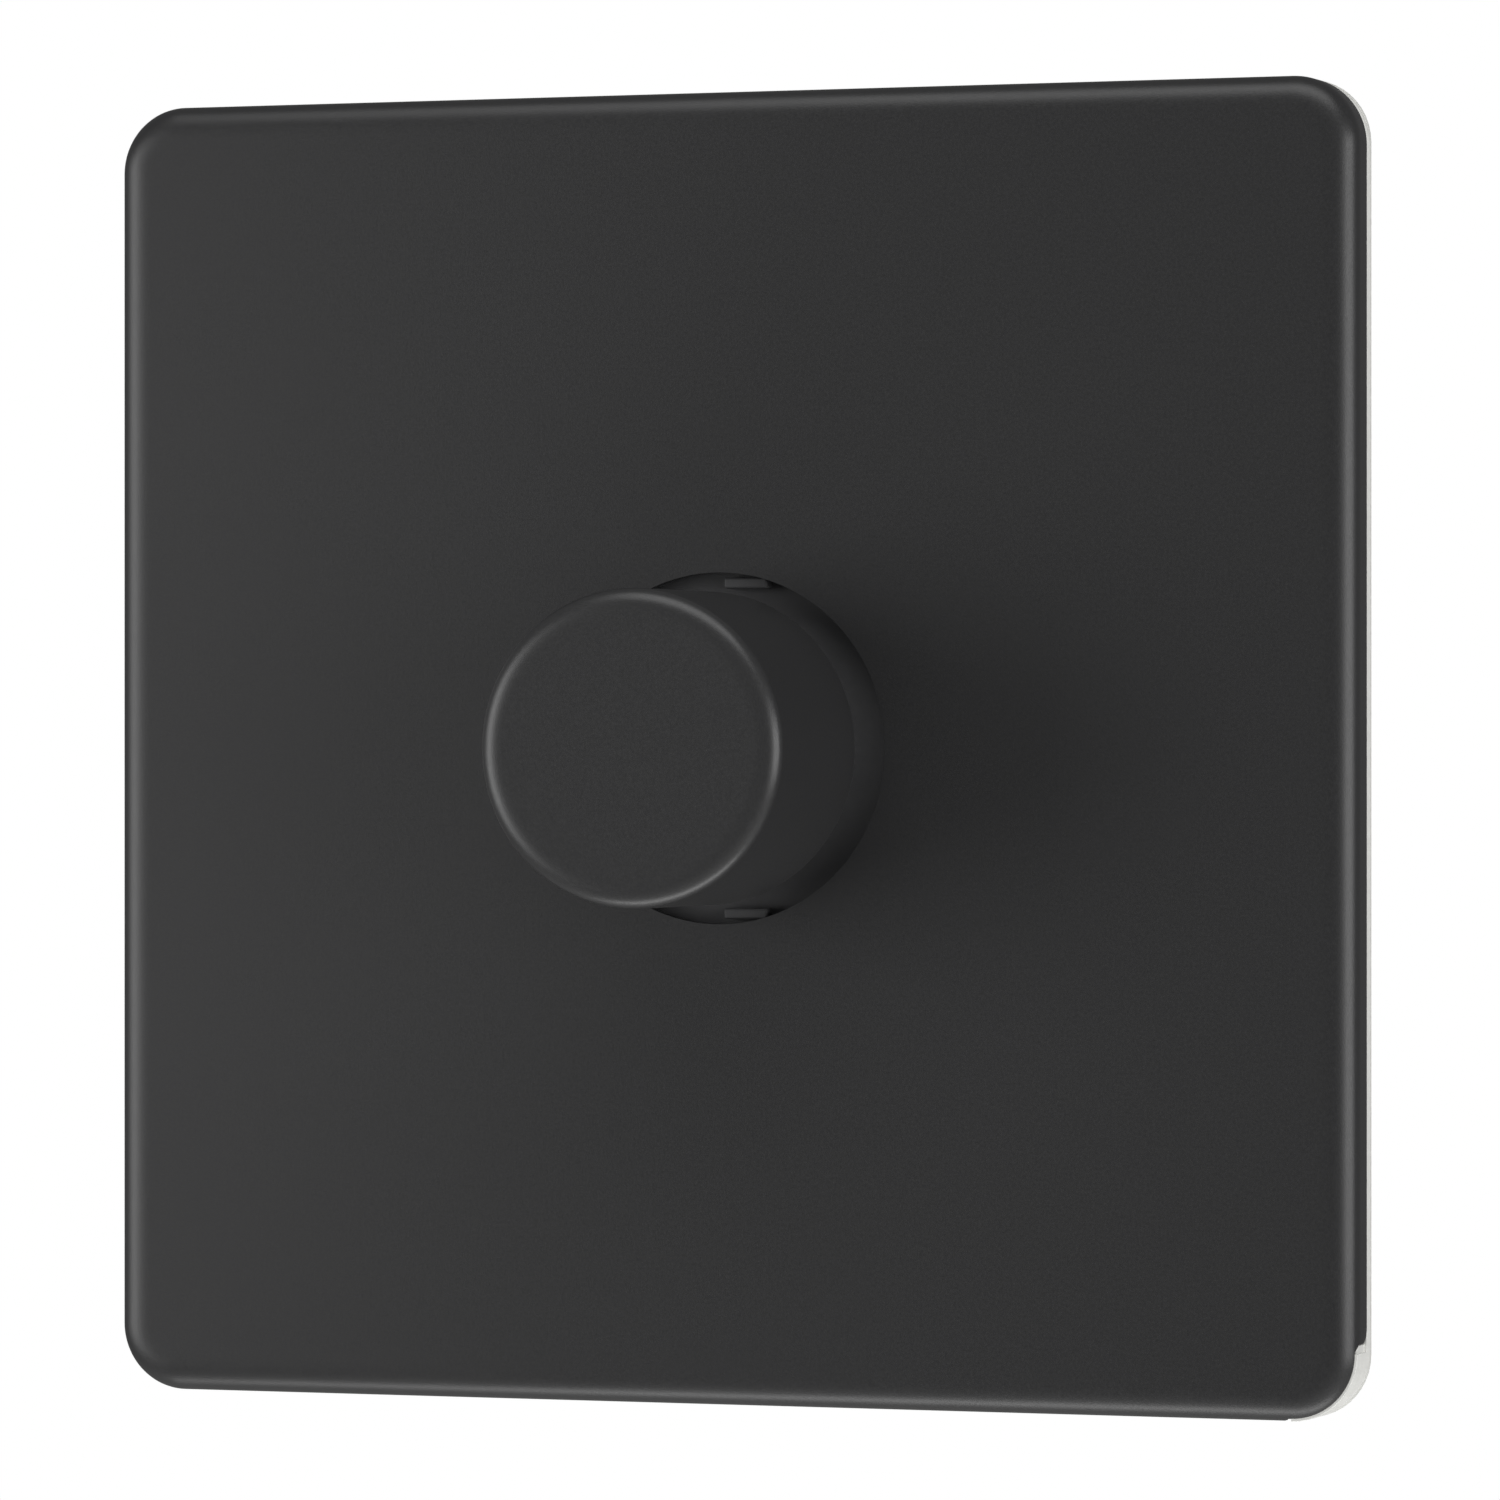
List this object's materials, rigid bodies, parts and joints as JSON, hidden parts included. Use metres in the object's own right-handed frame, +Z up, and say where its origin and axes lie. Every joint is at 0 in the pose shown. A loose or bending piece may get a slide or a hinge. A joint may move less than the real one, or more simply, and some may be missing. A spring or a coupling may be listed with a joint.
{
  "type": "rotary push dimmer",
  "caption": "Square wall-mounted dimmer: flat matt black plate with a folded rim, a round knob that turns and pushes, and the clip frame, steel yoke and circuit module behind it.",
  "frame": {"origin": "centre of the square plate, in the plane of the wall, which is midway between the two box screws", "axes": "+Z up, -Y out of the wall towards the room, +Y into the wall box, +X to the right as seen from the room"},
  "size_m": [0.086, 0.0459, 0.086],
  "materials": {
    "plate_coat": "matte",
    "knob_coat": "matte",
    "pale_plastic": "satin",
    "gasket_foam": "matte",
    "zinc_steel": "satin",
    "spring_steel": "polished",
    "yellow_zinc_steel": "satin",
    "aluminium_sheet": "satin",
    "brass": "satin",
    "copper": "polished",
    "black_plastic": "matte",
    "grey_plastic": "matte",
    "natural_nylon": "satin",
    "board_laminate": "satin",
    "ceramic_wafer": "matte",
    "carbon": "matte",
    "ferrite": "matte",
    "enamel_wire": "gloss",
    "thermal_pad": "matte",
    "yellow_box": "satin",
    "can_sleeve": "gloss",
    "fuse_ceramic": "satin",
    "blue_epoxy": "satin",
    "chip_epoxy": "matte",
    "tinned_metal": "polished",
    "trimmer_blue": "satin"
  },
  "bodies": {
    "root": {"clip_frame": "pale_plastic", "gasket": "gasket_foam", "plate_springs": "spring_steel", "mounting_yoke": "zinc_steel", "fixing_screws": "yellow_zinc_steel", "earth_terminal": "brass", "heat_spreader": "aluminium_sheet", "module_lid": "black_plastic", "module_housing": "grey_plastic", "housing_screws": "zinc_steel", "circuit_board": "board_laminate", "trim_ring": "black_plastic", "threaded_bush": "brass", "bush_nut": "zinc_steel", "lock_washer": "spring_steel", "pot_case": "zinc_steel", "track_wafer": "ceramic_wafer", "carbon_track": "carbon", "pot_pins": "tinned_metal", "return_spring": "spring_steel", "switch_case": "grey_plastic", "fixed_contacts": "copper", "contact_pivot": "spring_steel", "transistor_tabs": "tinned_metal", "transistor_bodies": "chip_epoxy", "transistor_legs": "tinned_metal", "insulator_pads": "thermal_pad", "clamp_springs": "spring_steel", "choke_core": "ferrite", "choke_winding": "enamel_wire", "film_capacitor": "yellow_box", "can_capacitor": "can_sleeve", "fuse": "fuse_ceramic", "varistor": "blue_epoxy", "controller_chip": "chip_epoxy", "small_resistors": "chip_epoxy", "trimmer_body": "trimmer_blue", "terminal_cages": "brass"},
    "plate": {"front_plate": "plate_coat"},
    "plunger": {"push_plunger": "natural_nylon"},
    "shaft": {"control_shaft": "brass", "shaft_circlip": "spring_steel"},
    "knob": {"knob_cap": "knob_coat", "knob_core": "black_plastic", "knob_clip": "spring_steel"},
    "wiper": {"wiper_rotor": "natural_nylon", "wiper_contacts": "copper"},
    "contact": {"moving_contact": "copper"},
    "trimmer": {"trimmer_rotor": "natural_nylon"},
    "earth_pad_body": {"earth_pad": "brass"},
    "earth_screw_body": {"earth_screw": "zinc_steel"},
    "pad_left_body": {"wire_pad_left": "brass"},
    "screw_left_body": {"clamp_screw_left": "zinc_steel"},
    "pad_middle_body": {"wire_pad_middle": "brass"},
    "screw_middle_body": {"clamp_screw_middle": "zinc_steel"},
    "pad_right_body": {"wire_pad_right": "brass"},
    "screw_right_body": {"clamp_screw_right": "zinc_steel"}
  },
  "joints": [
    {"name": "plate_pull", "type": "slide", "parent": "root", "child": "plate", "axis": [0, -1, 0], "range_m": [0, 0.02]},
    {"name": "press", "type": "slide", "parent": "root", "child": "plunger", "axis": [0, 1, 0], "range_m": [0, 0.0012], "stiffness_N_per_m": 1500, "springref_m": -0.0012, "deforming": ["return_spring"]},
    {"name": "turn", "type": "hinge", "parent": "plunger", "child": "shaft", "pos_m": [0, 0, 0], "axis": [0, 1, 0], "range_deg": [-135, 135]},
    {"name": "knob_pull", "type": "slide", "parent": "shaft", "child": "knob", "axis": [0, -1, 0], "range_m": [0, 0.014]},
    {"name": "wiper_turn", "type": "hinge", "parent": "root", "child": "wiper", "pos_m": [0, 0.007, 0], "axis": [0, 1, 0], "range_deg": [-135, 135]},
    {"name": "contact_swing", "type": "hinge", "parent": "root", "child": "contact", "pos_m": [0.0045, 0.0138, -0.007], "axis": [-1, 0, 0], "range_deg": [0, 9.92]},
    {"name": "trimmer_turn", "type": "hinge", "parent": "root", "child": "trimmer", "pos_m": [0.013, 0.005, -0.013], "axis": [0, 1, 0], "range_deg": [-130, 130]},
    {"name": "clamp_left", "type": "slide", "parent": "root", "child": "pad_left_body", "axis": [0, -1, 0], "range_m": [0, 0.0023]},
    {"name": "screw_left", "type": "hinge", "parent": "pad_left_body", "child": "screw_left_body", "pos_m": [-0.011, 0.0218, -0.0153], "axis": [0, -1, 0], "range_deg": [0, 1381]},
    {"name": "clamp_middle", "type": "slide", "parent": "root", "child": "pad_middle_body", "axis": [0, -1, 0], "range_m": [0, 0.0023]},
    {"name": "screw_middle", "type": "hinge", "parent": "pad_middle_body", "child": "screw_middle_body", "pos_m": [0, 0.0218, -0.0153], "axis": [0, -1, 0], "range_deg": [0, 1381]},
    {"name": "clamp_right", "type": "slide", "parent": "root", "child": "pad_right_body", "axis": [0, -1, 0], "range_m": [0, 0.0023]},
    {"name": "screw_right", "type": "hinge", "parent": "pad_right_body", "child": "screw_right_body", "pos_m": [0.011, 0.0218, -0.0153], "axis": [0, -1, 0], "range_deg": [0, 1381]},
    {"name": "clamp_earth", "type": "slide", "parent": "root", "child": "earth_pad_body", "axis": [0, -1, 0], "range_m": [0, 0.0023]},
    {"name": "screw_earth", "type": "hinge", "parent": "earth_pad_body", "child": "earth_screw_body", "pos_m": [-0.012, 0.0131, 0.029], "axis": [0, -1, 0], "range_deg": [0, 1381]}
  ],
  "couplings": [
    {"joint": "wiper_turn", "follows": "turn", "ratio": 1},
    {"joint": "contact_swing", "follows": "press", "rad_per_m": 142.86},
    {"joint": "screw_left", "follows": "clamp_left", "rad_per_m": 10472},
    {"joint": "screw_middle", "follows": "clamp_middle", "rad_per_m": 10472},
    {"joint": "screw_right", "follows": "clamp_right", "rad_per_m": 10472},
    {"joint": "screw_earth", "follows": "clamp_earth", "rad_per_m": 10472}
  ]
}
